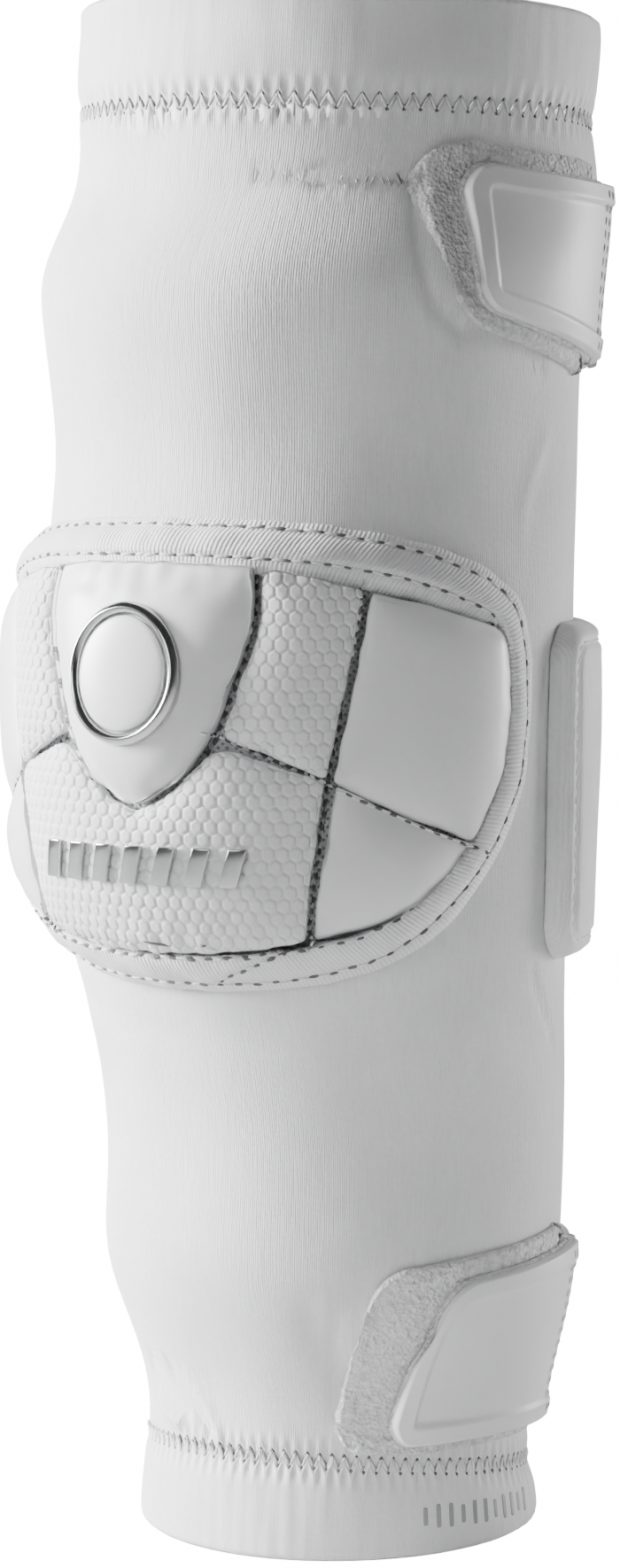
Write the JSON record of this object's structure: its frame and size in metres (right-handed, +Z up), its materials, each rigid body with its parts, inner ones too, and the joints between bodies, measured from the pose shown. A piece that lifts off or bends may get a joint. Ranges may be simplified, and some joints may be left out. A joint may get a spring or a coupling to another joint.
{
  "type": "lacrosse arm pad",
  "caption": "Padded knit sleeve for elbow and arm with a moulded, tape-bound elbow cap, folded cuffs and hook-and-loop straps with moulded tabs.",
  "frame": {"origin": "on the arm's axis inside the sleeve, level with the middle of the elbow cap", "axes": "+Z up the arm to the shoulder, -Y out through the middle of the elbow cap, +X to the side where the strap tabs are fastened"},
  "size_m": [0.1351, 0.1365, 0.3435],
  "materials": {
    "knit": "matt ribbed stretch knit",
    "backing_mesh": "grey mesh cloth",
    "binding_tape": "ribbed woven tape",
    "satin_panel": "smooth satin cloth",
    "honeycomb_panel": "embossed honeycomb cloth",
    "silver_trim": "silver print on moulded rubber",
    "badge_field": "satin moulded rubber",
    "strap_webbing": "smooth elastic webbing",
    "loop_pile": "fuzzy loop pile",
    "moulded_tab": "satin moulded rubber"
  },
  "bodies": {
    "root": {"sleeve_body": "knit", "upper_cuff": "knit", "lower_cuff": "knit", "cap_base": "backing_mesh", "cap_binding": "binding_tape", "cap_center_panel": "satin_panel", "cap_mid_panel_right": "honeycomb_panel", "cap_mid_panel_left": "honeycomb_panel", "cap_lower_panel": "honeycomb_panel", "cap_side_upper_panel_right": "satin_panel", "cap_side_upper_panel_left": "satin_panel", "cap_side_lower_panel_right": "satin_panel", "cap_side_lower_panel_left": "satin_panel", "badge_rim": "silver_trim", "badge_plate": "badge_field", "trim_bar_1": "silver_trim", "trim_bar_2": "silver_trim", "trim_bar_3": "silver_trim", "trim_bar_4": "silver_trim", "trim_bar_5": "silver_trim", "trim_bar_6": "silver_trim", "trim_bar_7": "silver_trim", "upper_strap": "strap_webbing", "lower_strap": "strap_webbing", "upper_loop_patch": "loop_pile", "lower_loop_patch": "loop_pile", "upper_tab": "moulded_tab", "lower_tab": "moulded_tab", "side_pad_right": "knit", "side_pad_left": "knit"}
  },
  "joints": []
}
